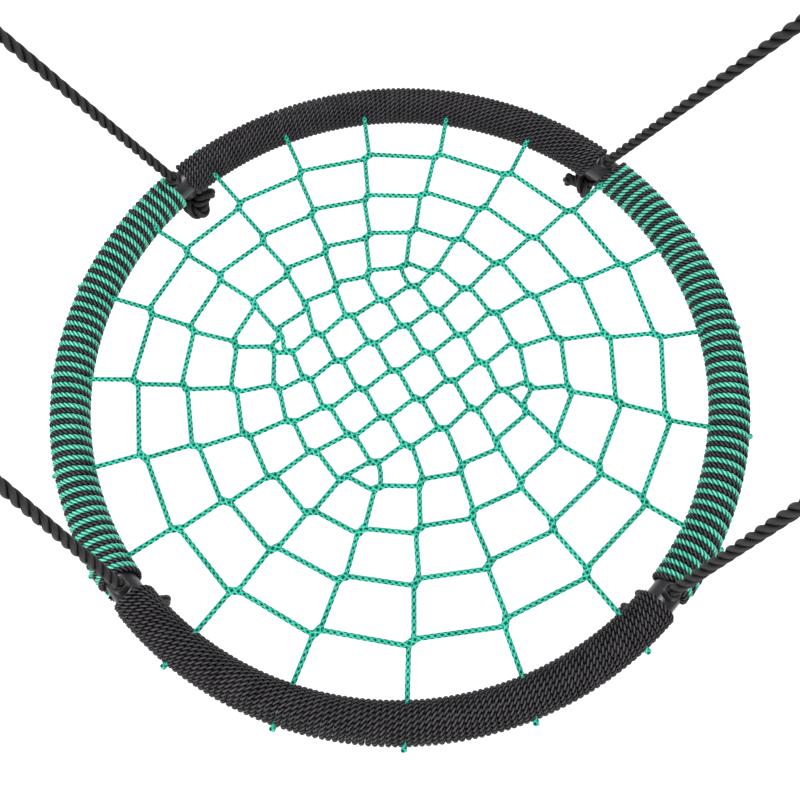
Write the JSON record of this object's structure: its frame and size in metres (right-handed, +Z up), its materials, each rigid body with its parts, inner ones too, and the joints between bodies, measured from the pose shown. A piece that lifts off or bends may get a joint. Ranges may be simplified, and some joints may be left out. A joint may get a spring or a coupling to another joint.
{
  "type": "saucer nest swing",
  "caption": "Nest swing with a wound ring, a knotted cord net, rope suspension in pairs, and sprung carabiners that turn on beam hangers.",
  "frame": {"origin": "on the swing axis, midway between the two hanger bolts", "axes": "+Z up, +X along the beam and the swing axis, +Y to the back; the saucer hangs below"},
  "size_m": [1.3, 1.02, 1.3979],
  "materials": {
    "painted_tube": "satin powder coat",
    "black_cord": "twisted polypropylene cord",
    "green_cord": "twisted and braided polypropylene cord",
    "black_rope": "three-strand laid rope",
    "black_plastic": "moulded",
    "white_plastic": "turned nylon",
    "zinc_steel": "zinc plated"
  },
  "bodies": {
    "hangers": {"hanger_bolt_left": "zinc_steel", "hanger_bolt_right": "zinc_steel", "hanger_bracket_left": "zinc_steel", "hanger_bracket_right": "zinc_steel", "hanger_bush_left": "white_plastic", "hanger_bush_right": "white_plastic", "hanger_nut_left": "zinc_steel", "hanger_nut_right": "zinc_steel"},
    "saucer_swing": {"carabiner_left": "zinc_steel", "carabiner_right": "zinc_steel", "frame_back_left": "painted_tube", "frame_back_right": "painted_tube", "frame_front_left": "painted_tube", "frame_front_right": "painted_tube", "gate_pin_left": "zinc_steel", "gate_pin_right": "zinc_steel", "net_cord_a1": "green_cord", "net_cord_a2": "green_cord", "net_cord_a3": "green_cord", "net_cord_a4": "green_cord", "net_cord_a5": "green_cord", "net_cord_b1": "green_cord", "net_cord_b2": "green_cord", "net_cord_b3": "green_cord", "net_cord_b4": "green_cord", "net_cord_b5": "green_cord", "net_end_knots": "green_cord", "net_ring_inner": "green_cord", "net_ring_outer": "green_cord", "net_ring_second": "green_cord", "net_ring_third": "green_cord", "rope_back_left": "black_rope", "rope_back_right": "black_rope", "rope_bush_back_left": "black_plastic", "rope_bush_back_right": "black_plastic", "rope_bush_front_left": "black_plastic", "rope_bush_front_right": "black_plastic", "rope_eye_back_left": "black_rope", "rope_eye_back_right": "black_rope", "rope_eye_front_left": "black_rope", "rope_eye_front_right": "black_rope", "rope_front_left": "black_rope", "rope_front_right": "black_rope", "rope_knot_back_left": "black_rope", "rope_knot_back_right": "black_rope", "rope_knot_front_left": "black_rope", "rope_knot_front_right": "black_rope", "thimble_back_left": "zinc_steel", "thimble_back_right": "zinc_steel", "thimble_front_left": "zinc_steel", "thimble_front_right": "zinc_steel", "winding_back": "black_cord", "winding_front": "black_cord", "winding_left": "green_cord", "winding_right": "green_cord"},
    "left_gate": {"gate_left": "zinc_steel"},
    "right_gate": {"gate_right": "zinc_steel"}
  },
  "joints": [
    {"name": "swing", "type": "hinge", "parent": "hangers", "child": "saucer_swing", "pos_m": [0, 0, 0], "axis": [1, 0, 0], "range_deg": [-55, 55]},
    {"name": "left_gate_hinge", "type": "hinge", "parent": "saucer_swing", "child": "left_gate", "pos_m": [-0.6, 0.01657, -0.00063], "axis": [1, 0, 0], "range_deg": [-18, 0], "stiffness_Nm_per_rad": 0.15, "springref_deg": 28.65},
    {"name": "right_gate_hinge", "type": "hinge", "parent": "saucer_swing", "child": "right_gate", "pos_m": [0.6, 0.01657, -0.00063], "axis": [1, 0, 0], "range_deg": [-18, 0], "stiffness_Nm_per_rad": 0.15, "springref_deg": 28.65}
  ]
}
